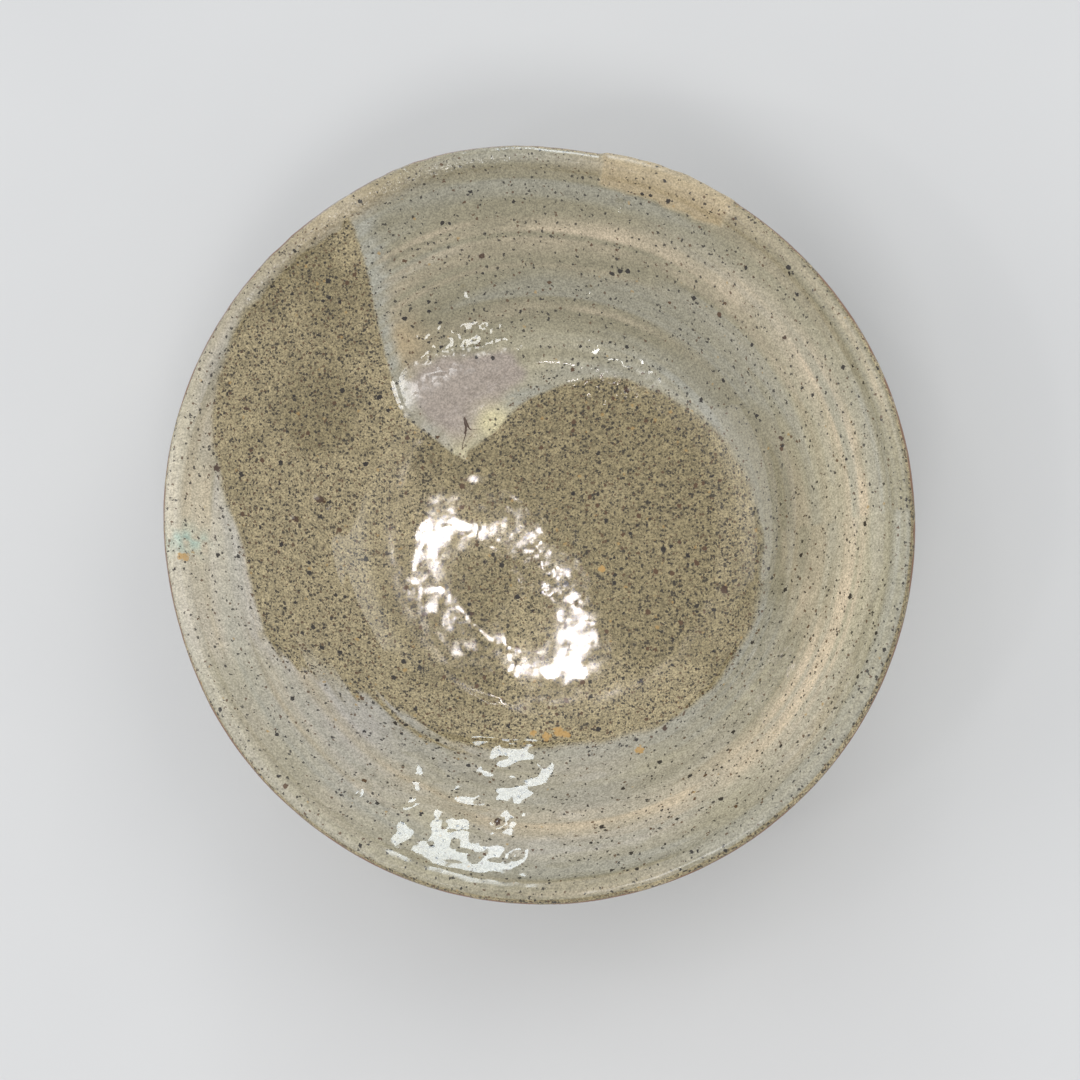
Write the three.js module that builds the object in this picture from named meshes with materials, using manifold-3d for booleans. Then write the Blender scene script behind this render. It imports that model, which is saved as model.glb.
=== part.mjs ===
// A hand-thrown stoneware tea bowl: clay wall and floor, joined foot ring, glaze inside and
// outside, and a pale slip brushed round the inside. Millimetres, +Z up. The origin is the centre
// of the circle that the foot ring stands on.
import * as THREE from 'three';
import { mergeVertices } from 'three/addons/utils/BufferGeometryUtils.js';
import Module from 'manifold-3d';

// ---- driving dimensions ----
const SEGMENTS = 48;              // round the axis
const OVAL = 0.022;               // the bowl is this much longer, and narrower, than round
const OVAL_AZIMUTH = 129;         // degrees, direction of its long axis
const FOOT_HEIGHT = 9;
const FOOT_OUTSIDE = 27.5;        // radius at the top of the ring
const FOOT_INSIDE = 20.5;
const FOOT_TAPER = 1.2;           // the ring is this much narrower below, on each side
const FOOT_CHAMFER = 0.8;
const LIP_CENTRE = 69.5;          // radius and height of the middle of the clay lip's round
const LIP_HEIGHT = 41.3;
const LIP_ROUND = 1.3;
const GAP = 0.3;                  // between layers
const GLAZE = 0.7;
const COAT = 0.5;
const POOL = 0.9;
const ROLL = 0.6;                 // extra thickness where the outside glaze stops
const GLAZE_LINE = 14;            // height on the clay at which it stops
const BAND_HEIGHTS = [25.5, 37.1];  // heights on the clay of the outside band of slip

// Heights above the clay surface at which each layer begins.
const GLAZE_LIFT = GAP;
const COAT_LIFT = GLAZE_LIFT + GLAZE + GAP;
const OVER_COAT_LIFT = COAT_LIFT + COAT + GAP;

// ---- the clay's section, [radius, height], from the foot up the outside, over the lip and
// down the inside to the middle of the floor ----
const OUTSIDE = [[27.5, 9], [34, 10.6], [40.5, 13.4], [46.5, 17.5], [52.5, 22.4], [58.2, 27.5], [63.6, 32.4],
  [68.3, 37.3]];
const INSIDE = [[67.4, 40.6], [65, 38.2], [60.5, 34], [55, 29], [49, 23.8], [43, 19.4], [37.5, 16.6],
  [30, 15.2], [16, 14.7], [0, 14.5]];
const LIP_STEPS = 4;
const LIP_SWEEP = [-35, 145];     // degrees round the lip's section, outside to inside

// ---- outlines seen from above: azimuth in degrees, radius ----
// The edge where the brush stroke begins, from its tip in the middle up to the lip.
const START_EDGE = [[137.6, 21.9], [139.6, 25.2], [140, 30.6], [140.3, 38.7], [133.7, 46.3], [125.6, 56.8],
  [122.6, 62], [120.5, 67.6]];
// The coat's inner edge, clockwise from that tip round to the stroke's thin end under the lip.
const INNER_EDGE = [[133.5, 23.4], [125, 23.6], [113.7, 24], [95.2, 27.9], [79.5, 30.8], [65.9, 33.7],
  [44.2, 36.2], [25.6, 38.6], [8.8, 39.6], [-6.7, 40.3], [-25.2, 41.6], [-39.6, 41.9], [-60.4, 41.1],
  [-82, 39.9], [-98.8, 40.6], [-119.1, 44.7], [-139.2, 47.6], [-156.4, 57.1], [-178, 58.2],
  [-188, 62], [-201.6, 65.9], [-216, 67.6], [-228, 67.2], [-238, 66.8]];
// The pool of thick slip beside the stroke's start, with its run down to the tip.
const POOL_EDGE = [[137, 22.4], [128, 24.3], [116, 25.2], [104, 28.5], [95, 33], [98.5, 38.5], [112.4, 42],
  [124.8, 44.6], [133, 44.2], [137.3, 40], [137.8, 31]];
// The patch over the lip.
const PATCH_AZIMUTHS = [54, 77];
const PATCH_RADII = [65.2, 76];   // the outer one is clear of the lip
const PATCH_EDGE_RISE = 1.5;      // its lower edge is this much higher at its ends
const PRISM_HEIGHT = 80;          // tall enough to cut through the whole bowl

const radians = THREE.MathUtils.degToRad;

function lipArc() {
  const points = [];
  for (let step = 0; step <= LIP_STEPS; step += 1) {
    const turn = radians(THREE.MathUtils.lerp(LIP_SWEEP[0], LIP_SWEEP[1], step / LIP_STEPS));
    points.push([LIP_CENTRE + LIP_ROUND * Math.cos(turn), LIP_HEIGHT + LIP_ROUND * Math.sin(turn)]);
  }
  return points;
}

const SECTION = [...OUTSIDE, ...lipArc(), ...INSIDE].map(([r, z]) => new THREE.Vector2(r, z));
const LAST_OUTSIDE = OUTSIDE.length - 1;
const CREST = OUTSIDE.length + LIP_STEPS / 2;          // the station at the top of the lip
const FLOOR_CENTRE = SECTION.length - 1;
const COAT_START = FLOOR_CENTRE - 1.35;                // inside the tip of the brush stroke
const PATCH_STATIONS = [CREST - 0.8, CREST + 4.4];

// Unit normals out of the clay, one for each station of the section.
const NORMALS = SECTION.map((point, station) => {
  if (station === FLOOR_CENTRE) return new THREE.Vector2(0, 1);
  const before = SECTION[Math.max(station - 1, 0)];
  const after = SECTION[Math.min(station + 1, FLOOR_CENTRE)];
  const along = after.clone().sub(before).normalize();
  return new THREE.Vector2(along.y, -along.x);
});

// The point of the section at a station, which may lie between two, lifted off the clay.
function sectionPoint(station, lift) {
  const low = Math.min(Math.floor(station), FLOOR_CENTRE - 1);
  const from = SECTION[low].clone().addScaledVector(NORMALS[low], lift);
  const to = SECTION[low + 1].clone().addScaledVector(NORMALS[low + 1], lift);
  return from.lerp(to, station - low);
}

// The station on the outside whose clay height is the one given.
function outsideStation(height) {
  const above = OUTSIDE.findIndex(([, z]) => z >= height);
  const [low, high] = [OUTSIDE[above - 1][1], OUTSIDE[above][1]];
  return above - 1 + (height - low) / (high - low);
}

// ---- solids ----

// A profile turned round the axis.
function turned(points) {
  return new THREE.LatheGeometry(points, SEGMENTS).rotateX(Math.PI / 2);
}

// A layer between two stations, from lower to upper above the clay, turned round the axis. Its
// first edge may be thickened to a roll. A layer that ends in the middle of the floor is closed
// by the axis; any other closes on itself.
function turnedLayer(first, last, lower, upper, roll = 0) {
  const stations = [first];
  for (let station = Math.floor(first) + 1; station < last; station += 1) stations.push(station);
  stations.push(last);
  const top = stations.map((station) => sectionPoint(station, upper));
  const bottom = stations.map((station) => sectionPoint(station, lower)).reverse();
  top[0] = sectionPoint(first, upper + roll);
  if (last === FLOOR_CENTRE) return turned([...bottom, ...top]);
  return turned([...top, ...bottom, top[0].clone()]);
}

const library = await Module();
library.setup();

function toManifold(geometry) {
  const bare = geometry.clone();
  bare.deleteAttribute('normal');
  bare.deleteAttribute('uv');
  const merged = mergeVertices(bare);
  return new library.Manifold(new library.Mesh({
    numProp: 3,
    vertProperties: new Float32Array(merged.attributes.position.array),
    triVerts: new Uint32Array(merged.index.array),
  }));
}

function toGeometry(manifold) {
  const mesh = manifold.getMesh();
  const geometry = new THREE.BufferGeometry();
  geometry.setAttribute('position', new THREE.Float32BufferAttribute(mesh.vertProperties, 3));
  geometry.setIndex(new THREE.Uint32BufferAttribute(mesh.triVerts, 1));
  geometry.computeVertexNormals();
  return geometry;
}

// An upright prism on a closed outline of [azimuth, radius] points.
function prism(outline) {
  const corners = outline.map(([azimuth, radius]) => new THREE.Vector2(
    radius * Math.cos(radians(azimuth)), radius * Math.sin(radians(azimuth))));
  const shape = new THREE.Shape(corners);
  return toManifold(new THREE.ExtrudeGeometry(shape, { depth: PRISM_HEIGHT, bevelEnabled: false }));
}

// The same outline drawn as a smooth curve, open or closed.
function smooth(outline, pieces, closed = false) {
  const corners = outline.map(([azimuth, radius]) => new THREE.Vector3(
    radius * Math.cos(radians(azimuth)), radius * Math.sin(radians(azimuth)), 0));
  const points = new THREE.CatmullRomCurve3(corners, closed).getPoints(pieces)
    .map(({ x, y }) => [THREE.MathUtils.radToDeg(Math.atan2(y, x)), Math.hypot(x, y)]);
  return closed ? points.slice(0, -1) : points;
}

// ---- the pieces ----
const END_GAP = 0.15;             // of a station, between layers that meet at the lip
const LIP_BAND_FOOT = LAST_OUTSIDE + 0.75;
const START_PIECES = 12;          // straight pieces in each smooth outline
const INNER_PIECES = 44;
const POOL_PIECES = 24;

function clayBody() {
  return turned([new THREE.Vector2(0, FOOT_HEIGHT), new THREE.Vector2(FOOT_INSIDE, FOOT_HEIGHT), ...SECTION]);
}

function footRing() {
  const outline = [
    [FOOT_INSIDE, FOOT_HEIGHT],
    [FOOT_INSIDE + FOOT_TAPER, FOOT_CHAMFER],
    [FOOT_INSIDE + FOOT_TAPER + FOOT_CHAMFER, 0],
    [FOOT_OUTSIDE - FOOT_TAPER - FOOT_CHAMFER, 0],
    [FOOT_OUTSIDE - FOOT_TAPER, FOOT_CHAMFER],
    [FOOT_OUTSIDE, FOOT_HEIGHT],
    [FOOT_INSIDE, FOOT_HEIGHT],
  ];
  return turned(outline.map(([r, z]) => new THREE.Vector2(r, z)));
}

function glazeLayer(first, last, roll = 0) {
  return turnedLayer(first, last, GLAZE_LIFT, GLAZE_LIFT + GLAZE, roll);
}

// The coat covers the inside wall except for the comma of bare glaze inside its two edges.
function slipSwirl() {
  const wall = toManifold(turnedLayer(CREST, COAT_START, COAT_LIFT, COAT_LIFT + COAT));
  const comma = smooth(START_EDGE, START_PIECES).reverse().concat(smooth(INNER_EDGE, INNER_PIECES));
  return toGeometry(wall.subtract(prism(comma)));
}

function slipPool() {
  const layer = turnedLayer(CREST, COAT_START, OVER_COAT_LIFT, OVER_COAT_LIFT + POOL);
  return toGeometry(toManifold(layer).intersect(prism(smooth(POOL_EDGE, POOL_PIECES, true))));
}

function outsideBand() {
  const [bottom, top] = BAND_HEIGHTS.map(outsideStation);
  return turnedLayer(bottom, top, COAT_LIFT, COAT_LIFT + COAT);
}

function rimPatch() {
  const [first, last] = PATCH_STATIONS;
  const layer = turnedLayer(first, last, OVER_COAT_LIFT, OVER_COAT_LIFT + COAT);
  const [near, far] = PATCH_AZIMUTHS;
  const [inner, outer] = PATCH_RADII;
  const middle = (near + far) / 2;
  const sector = [[near, outer], [middle, outer], [far, outer], [far, inner + PATCH_EDGE_RISE],
    [middle, inner], [near, inner + PATCH_EDGE_RISE]];
  return toGeometry(toManifold(layer).intersect(prism(sector)));
}

const CLAY = { color: 0x8a6f52, roughness: 0.85, metalness: 0 };
const OLIVE = { color: 0x8d8066, roughness: 0.15, metalness: 0 };
const PALE = { color: 0xb0a990, roughness: 0.15, metalness: 0 };
const LILAC = { color: 0xa79e92, roughness: 0.25, metalness: 0 };
const IRON = { color: 0x7d6147, roughness: 0.3, metalness: 0 };
const PEACH = { color: 0xc3b294, roughness: 0.2, metalness: 0 };

const PIECES = {
  clay_body: [clayBody(), CLAY],
  foot_ring: [footRing(), CLAY],
  inside_glaze: [glazeLayer(CREST + END_GAP, FLOOR_CENTRE), OLIVE],
  lip_iron_band: [glazeLayer(LIP_BAND_FOOT, CREST - END_GAP), IRON],
  outside_glaze: [glazeLayer(outsideStation(GLAZE_LINE), LIP_BAND_FOOT - END_GAP, ROLL), OLIVE],
  inside_slip_swirl: [slipSwirl(), PALE],
  inside_slip_pool: [slipPool(), LILAC],
  outside_slip_band: [outsideBand(), PALE],
  rim_slip_patch: [rimPatch(), PEACH],
};

// Drying pulled the bowl slightly oval: a stretch along one direction, the same for every piece.
const bowl = new THREE.Group();
const stretch = new THREE.Group();
const upright = new THREE.Group();
bowl.add(stretch);
stretch.add(upright);
bowl.rotation.z = radians(OVAL_AZIMUTH);
stretch.scale.set(1 + OVAL, 1 - OVAL, 1);
upright.rotation.z = -radians(OVAL_AZIMUTH);

for (const [name, [geometry, look]] of Object.entries(PIECES)) {
  const mesh = new THREE.Mesh(geometry, new THREE.MeshStandardMaterial(look));
  mesh.name = name;
  upright.add(mesh);
}

export default bowl;
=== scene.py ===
"""A hand-thrown stoneware tea bowl seen from above: every CAD layer is replaced by a finely
modelled one. Shapes are worked out in millimetres and written to meshes in metres, +Z up, with
the origin at the centre of the foot. A place on the bowl is (s, azimuth): s is the distance along
the glazed section, from the foot up the outside, over the lip and down to the middle."""
import math

import bpy
import numpy as np
from mathutils import Matrix, Vector


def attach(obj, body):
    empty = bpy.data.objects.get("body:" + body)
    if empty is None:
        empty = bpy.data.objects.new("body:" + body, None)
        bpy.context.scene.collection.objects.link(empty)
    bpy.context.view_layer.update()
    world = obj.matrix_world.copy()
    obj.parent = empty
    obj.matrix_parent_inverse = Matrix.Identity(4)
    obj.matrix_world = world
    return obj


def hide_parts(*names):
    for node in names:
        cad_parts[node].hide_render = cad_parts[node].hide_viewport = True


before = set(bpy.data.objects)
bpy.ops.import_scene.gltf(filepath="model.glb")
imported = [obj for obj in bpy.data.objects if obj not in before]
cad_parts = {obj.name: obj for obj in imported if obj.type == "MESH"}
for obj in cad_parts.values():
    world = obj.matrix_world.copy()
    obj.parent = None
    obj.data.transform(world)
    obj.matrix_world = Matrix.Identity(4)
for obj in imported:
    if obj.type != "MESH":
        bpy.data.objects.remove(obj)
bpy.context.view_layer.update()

MM = 0.001

# ---- the clay's section, [radius, height], as in the CAD ----
OUTSIDE = [[27.5, 9], [34, 10.6], [40.5, 13.4], [46.5, 17.5], [52.5, 22.4], [58.2, 27.5],
           [63.6, 32.4], [68.3, 37.3]]
INSIDE = [[67.4, 40.6], [65, 38.2], [60.5, 34], [55, 29], [49, 23.8], [43, 19.4], [37.5, 16.6],
          [33.5, 15.6], [30, 15.2], [23, 14.9], [16, 14.7], [8, 14.55], [0, 14.5]]
LIP_CENTRE, LIP_HEIGHT, LIP_ROUND = 69.5, 41.3, 1.3
LIP_STEPS = 4
LIP_SWEEP = (-35, 145)
FOOT_HEIGHT, FOOT_OUTSIDE, FOOT_INSIDE = 9.0, 27.5, 20.5
FOOT_TAPER, FOOT_CHAMFER = 1.2, 0.8
OVAL, OVAL_AZIMUTH = 0.022, 129

# ---- how high each layer's faces are above the clay ----
SKIN = 1.0           # the glaze
COAT = 0.14          # pale slip over the glaze
POOL = 0.5           # thick slip over the coat
PATCH = 0.12         # smooth slip over the coat at the rim
SINK = 0.12          # each layer starts this far inside the one below

# ---- outlines on the inside, (azimuth, radius) ----
# the swirl's sharp start, its inner edge, and the thick pool at its start
START_EDGE = [(137.6, 21.9), (139.6, 25.2), (140, 30.6), (140.3, 38.7), (133.7, 46.3), (125.6, 56.8),
              (122.6, 62), (120.5, 67.6)]
INNER_EDGE = [(133.5, 23.4), (125, 23.6), (113.7, 24), (95.2, 27.9), (79.5, 30.8), (65.9, 33.7),
              (44.2, 36.2), (25.6, 38.6), (8.8, 39.6), (-6.7, 40.3), (-25.2, 41.6), (-39.6, 41.9),
              (-60.4, 41.1), (-82, 39.9), (-98.8, 40.6), (-119.1, 44.7), (-139.2, 47.6), (-156.4, 57.1),
              (-178, 58.2), (-188, 62), (-201.6, 65.9), (-216, 67.6), (-228, 67.2), (-238, 66.8)]
POOL_EDGE = [(137, 22.4), (128, 24.3), (116, 25.2), (104, 28.5), (95, 33), (98.5, 38.5), (112.4, 42),
             (124.8, 44.6), (133, 44.2), (137.3, 40), (137.8, 31)]
SOFTNESS = [(130, 1.4), (100, 1.2), (60, 1.8), (20, 3.2), (-30, 3.4), (-80, 3.0), (-120, 2.6),
            (-170, 1.6), (170, 1.4)]     # (azimuth, millimetres) over which the inner edge fades
START_SOFTNESS = 0.9
RAGGED = (-136, 24)      # where the brush ran dry: azimuth, width


# ---- small mathematics ----

def ramp(value, low, high):
    t = np.clip((value - low) / (high - low), 0, 1)
    return t * t * (3 - 2 * t)


def hump(value, centre, width):
    return np.exp(-((value - centre) / width) ** 2)


def turn_between(azimuth, other):
    """The angle in degrees from one azimuth to another, from -180 to 180."""
    return (azimuth - other + 180) % 360 - 180


def near(azimuth, middle, width):
    """1 at the middle azimuth, falling to 0 within about twice the width."""
    return hump(turn_between(azimuth, middle), 0, width)


def around(azimuth, keys):
    """A value that runs smoothly through (azimuth, value) pairs round the bowl."""
    places, values = np.array(sorted((a % 360, v) for a, v in keys)).T
    return np.interp(azimuth % 360, places, values, period=360)


def flat(azimuth, radius):
    turn = np.radians(azimuth)
    return np.stack([radius * np.cos(turn), radius * np.sin(turn)], -1)


def gap_to(points, azimuth, radius):
    return np.linalg.norm(points - flat(azimuth, radius), axis=-1)


def upright(plan):
    """Points of the plan as points in space."""
    return np.concatenate([plan, np.zeros(plan.shape[:-1] + (1,))], -1)


def raised(plan, height):
    """A round plan drawn out to the bowl's oval, and given its heights."""
    x, y = np.moveaxis(plan, -1, 0)
    tilt = math.radians(OVAL_AZIMUTH)
    long = (x * math.cos(tilt) + y * math.sin(tilt)) * (1 + OVAL)
    short = (-x * math.sin(tilt) + y * math.cos(tilt)) * (1 - OVAL)
    return np.stack([long * math.cos(tilt) - short * math.sin(tilt),
                     long * math.sin(tilt) + short * math.cos(tilt), height], -1)


NOISE_SIDE = 32          # lumps before the noise repeats
NOISE_SHIFT = 7.3        # from one seed's place to the next
NOISE_GAIN = 1.6         # brings smooth noise back to about -1 to 1


def noise(points, size, seed):
    """Smooth value noise with lumps of about the given size."""
    table = np.random.default_rng(seed).uniform(-1, 1, (NOISE_SIDE, NOISE_SIDE, NOISE_SIDE))
    scaled = np.asarray(points) / size + NOISE_SHIFT * seed
    cell = np.floor(scaled).astype(int)
    f = scaled - cell
    f = f * f * f * (f * (f * 6 - 15) + 10)
    total = 0
    for corner in range(8):
        step = np.array([corner & 1, corner >> 1 & 1, corner >> 2 & 1])
        weight = np.prod(np.where(step, f, 1 - f), axis=-1)
        x, y, z = np.moveaxis((cell + step) % NOISE_SIDE, -1, 0)
        total = total + weight * table[x, y, z]
    return total * NOISE_GAIN


def spline(points, per_span, closed=False):
    """A smooth curve through points, with per_span steps between each two."""
    points = np.array(points, float)
    if closed:
        points = np.concatenate([points[-1:], points, points[:2]])
    chord = np.linalg.norm(np.diff(points, axis=0), axis=1)[:, None]
    slope = np.diff(points, axis=0) / chord
    tangent = np.concatenate([slope[:1], (slope[:-1] * chord[1:] + slope[1:] * chord[:-1])
                              / (chord[:-1] + chord[1:]), slope[-1:]])
    spans = range(1, len(points) - 2) if closed else range(len(points) - 1)
    t = np.arange(per_span)[:, None] / per_span
    pieces = [(2 * t**3 - 3 * t**2 + 1) * points[i] + (t**3 - 2 * t**2 + t) * chord[i] * tangent[i]
              + (3 * t**2 - 2 * t**3) * points[i + 1] + (t**3 - t**2) * chord[i] * tangent[i + 1]
              for i in spans]
    if not closed:
        pieces.append(points[-1:])
    return np.concatenate(pieces)


# ---- the section as a function of s ----

def lip_arc():
    turns = np.radians(np.linspace(*LIP_SWEEP, LIP_STEPS + 1))
    return [[LIP_CENTRE + LIP_ROUND * math.cos(a), LIP_HEIGHT + LIP_ROUND * math.sin(a)] for a in turns]


STEPS_PER_STATION = 40
STATIONS = OUTSIDE + lip_arc() + INSIDE
CURVE = spline(STATIONS + [[-INSIDE[-2][0], INSIDE[-2][1]]], STEPS_PER_STATION)[:-STEPS_PER_STATION]
CURVE[-1] = STATIONS[-1]
ALONG = np.gradient(CURVE, axis=0)
ALONG[-1] = (-1, 0)
ALONG /= np.linalg.norm(ALONG, axis=1)[:, None]
NORMAL = np.stack([ALONG[:, 1], -ALONG[:, 0]], 1)
STATION_OF = np.arange(len(CURVE)) / STEPS_PER_STATION
GLAZED = CURVE + SKIN * NORMAL
S = np.concatenate([[0], np.cumsum(np.linalg.norm(np.diff(GLAZED, axis=0), axis=1))])


def at_station(station):
    return float(np.interp(station, STATION_OF, S))


def at_height(height):
    """Where on the outside the clay is this high."""
    outside = STATION_OF <= len(OUTSIDE) - 1
    return np.interp(height, CURVE[outside, 1], S[outside])


def at_inside_radius(radius):
    inside = STATION_OF >= len(OUTSIDE) + LIP_STEPS
    return float(np.interp(-radius, -CURVE[inside, 0], S[inside]))


S_LIP = at_station(len(OUTSIDE) + 0.6)          # the outermost part of the lip
S_TOP = at_station(len(OUTSIDE) + 2.8)          # the highest
S_CREST = at_station(len(OUTSIDE) + LIP_STEPS / 2)
S_CENTRE = S[-1]
GLAZE_LINE = 14          # how high the clay is where the outside glaze ends
BAND_HEIGHTS = (25.5, 37.1)             # the clay's height at the outside band's edges
DENTS = [(105, 12, 0.55), (79, 9, -0.6), (197, 14, -0.5)]       # azimuth, width, millimetres out
RIM_WAVE = 0.35


def place(s, azimuth, lift):
    """The point in millimetres at a place on the bowl, lifted off the clay. It takes in what the
    potter's hands and drying did to the whole wall: the oval and the gentle waves."""
    radius, height = np.interp(s, S, CURVE[:, 0]), np.interp(s, S, CURVE[:, 1])
    out, up = np.interp(s, S, NORMAL[:, 0]), np.interp(s, S, NORMAL[:, 1])
    share = np.clip(radius / LIP_CENTRE, 0, 1.1)
    plan = radius + lift * out
    for middle, width, push in DENTS:
        plan = plan + push * share ** 3 * near(azimuth, middle, width)
    waves = noise(upright(flat(azimuth, 1.0)), 0.55, 3)
    rise = height + lift * up + RIM_WAVE * share ** 4 * waves * (height > GLAZE_LINE)
    return raised(flat(azimuth, plan), rise)


# ---- outlines and distances ----

def outline(keys, per_span=8, closed=False):
    azimuth, radius = np.array(keys, float).T
    return spline(flat(azimuth, radius), per_span, closed)


def distance(points, line, closed=True):
    """How far each point is from a line of points, and how far along the line (0 to 1) the
    nearest place is."""
    ends = np.roll(line, -1, axis=0) if closed else line[1:]
    starts = line if closed else line[:-1]
    best = np.full(points.shape[:-1], np.inf)
    where = np.zeros(points.shape[:-1])
    for index, (start, end) in enumerate(zip(starts, ends)):
        side = end - start
        t = np.clip(((points - start) @ side) / max(side @ side, 1e-9), 0, 1)
        gap = np.linalg.norm(points - start - t[..., None] * side, axis=-1)
        nearer = gap < best
        best = np.where(nearer, gap, best)
        where = np.where(nearer, (index + t) / len(starts), where)
    return best, where


def is_inside(points, line):
    x, y = points[..., 0], points[..., 1]
    crossings = np.zeros(x.shape, int)
    for (x0, y0), (x1, y1) in zip(line, np.roll(line, -1, axis=0)):
        spans = (y0 > y) != (y1 > y)
        reach = x0 + (y - y0) / (y1 - y0 if y1 != y0 else 1) * (x1 - x0)
        crossings += spans & (x < reach)
    return crossings % 2 == 1


START_LINE = outline(START_EDGE)
COMMA = np.concatenate([START_LINE[::-1], outline(INNER_EDGE)])
START_SHARE = (len(START_LINE) - 1) / len(COMMA)      # of the outline's points, those of the start
POOL_LINE = outline(POOL_EDGE, closed=True)


def plan_points(s, azimuth):
    return flat(azimuth, np.interp(s, S, CURVE[:, 0]))


SPIRAL = 0.012           # millimetres a streak climbs in each degree


def streaks(s, azimuth, width, seed, reach=1.4):
    """Marks of a brush or of throwing: narrow across, long round the bowl, shorter for a greater
    reach."""
    round_bowl = flat(azimuth, reach)
    across = (s + SPIRAL * (azimuth % 360)) / width
    return noise(np.concatenate([across[..., None], round_bowl], -1), 1.0, seed)


def coat_distance(s, azimuth):
    """Millimetres inside the pale coat's edge (negative outside it), and how soft the edge is."""
    points = plan_points(s, azimuth)
    gap, where = distance(points, COMMA)
    covered = np.where(is_inside(points, COMMA), -gap, gap)
    at_start = where < START_SHARE
    wander = 0.3 * noise(upright(points), 5.5, 11) + 0.1 * noise(upright(points), 1.7, 12)
    covered = covered + np.where(at_start, 0.8, 1.2) * wander
    coarse = np.clip(streaks(s, azimuth, 2.2, 13, 2.4) + 0.25, 0, 1.2)
    hairs = np.clip(streaks(s, azimuth, 0.9, 14, 4.0), 0, 1)
    covered = covered - near(azimuth, *RAGGED) * ~at_start * (3.4 * coarse + 1.4 * hairs)
    return covered, np.where(at_start, START_SOFTNESS, around(azimuth, SOFTNESS))


# ---- the glaze's relief ----

GROOVE = [(-72, 39.6), (-90, 39.6), (-104, 40.6), (-119, 44.2), (-128, 45.4)]
CRATERS = [(72.8, 63.8, 1.5, 0.45), (-124.4, 62.6, 1.6, 0.4), (-94, 63.3, 1.2, 0.4),
           (107.1, 50.5, 1.4, 0.3), (78, 49.3, 1.2, 0.3), (171.2, 46.6, 1.5, -0.3),
           (176.8, 50.3, 1.2, -0.25), (61.8, 33.3, 1.2, -0.3), (-17.6, 35.6, 1.6, -0.3),
           (-98.8, 57.5, 1.2, -0.4)]      # azimuth, radius, size, depth
WRINKLES = [(66, 37, 7, 0.08), (113, 40.5, 8, 0.12), (137, 37, 4, 0.07)]     # ..., reach, height

THINNEST = 0.2           # the glaze is nowhere thinner
LIP_THINNING = 0.5       # how much of it ran off the lip
GLOSSY_LIP = (116, 24)   # where the lip is glossiest: azimuth, width
FACING = (-108, 26)      # the side of the wall with the biggest lumps
RING_STEP = 5.2          # from one throwing ring to the next
WALL_FROM, WALL_AT = 36, 44             # how far from the middle the floor becomes the wall
WELL_HEIGHT = 17.05      # where the pooled glaze stands at the edge of the floor
WELL_DISH = 0.25         # how much lower it is in the middle
WELL_REACH = 36.0
WELL_CORNER = 0.1        # how softly it meets the wall


def melt(s, azimuth, solid):
    """Throwing rings and the waves of the melted surface."""
    wall = ramp(np.abs(s - S_CENTRE), WALL_FROM, WALL_AT)
    facing = near(azimuth, *FACING) * ramp(s, S_CREST, S_CREST + 2)
    rings = np.sin(2 * math.pi * (s / RING_STEP + azimuth / 360) + 1.3 * noise(solid, 24, 21))
    height = (0.001 + (0.02 - 0.008 * facing) * wall) * rings * (0.7 + 0.3 * noise(solid, 30, 22))
    height = height + (0.009 + 0.012 * wall) * noise(solid, 8.0, 23) + 0.006 * noise(solid, 3.8, 24)
    height = height + 0.0018 * noise(solid, 1.6, 25) + 0.004 * streaks(s, azimuth, 2.3, 26) * wall
    lumps = 0.17 * noise(solid, 10, 28) + 0.15 * noise(solid, 4.6, 29) + 0.07 * noise(solid, 2.2, 30)
    swell = 0.28 * hump(s - S_CREST, 20, 9) - 0.25 * hump(s - S_CREST, 0, 9)
    return height + facing * wall * (lumps + swell)


def pooled(s, points, solid):
    """How much deeper the glaze is where it ran together on the floor."""
    across = np.linalg.norm(points, axis=-1) / WELL_REACH
    level = WELL_HEIGHT - WELL_DISH * (1 - across ** 2)
    level = level + 0.09 * noise(solid, 3.0, 46) * ramp(across, 0.9, 1)
    surface = np.interp(s, S, GLAZED[:, 1])
    inner = ramp(s, S_CENTRE - 50, S_CENTRE - 46)
    return WELL_CORNER * np.logaddexp(0, (level - surface) / WELL_CORNER) * inner


def relief(s, azimuth):
    """The glaze's unevenness in millimetres: rings and waves, the pooled floor, wrinkles, the
    groove round the floor, and pits."""
    solid = place(s, azimuth, SKIN)
    points = plan_points(s, azimuth)
    height = melt(s, azimuth, solid) + pooled(s, points, solid)
    wrinkle = noise(solid, 1.6, 47) + 0.3 * noise(solid, 0.9, 74)
    for turn, radius, reach, size in WRINKLES:
        height = height + size * wrinkle * ramp(gap_to(points, turn, radius), 1.7 * reach, 0.8 * reach)
    height = height - LIP_THINNING * hump(s, S_TOP - 1, 5.0)
    uneven_lip = 0.05 + 0.08 * near(azimuth, *GLOSSY_LIP)
    height = height + uneven_lip * hump(s, S_TOP, 3.2) * noise(solid, 2.2, 27)
    inside = ramp(s, S_CREST, S_CREST + 3)
    gap, where = distance(points, outline(GROOVE), closed=False)
    height = height - 0.3 * hump(gap, 0, 0.9) * np.sin(math.pi * where) * inside
    for turn, radius, size, depth in CRATERS:
        gap = gap_to(points, turn, radius)
        height = height - depth * inside * (hump(gap, 0, size * 0.55) - 0.45 * hump(gap, size, size * 0.4))
    return np.maximum(height, THINNEST - SKIN)


# ---- colour masks ----

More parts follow.
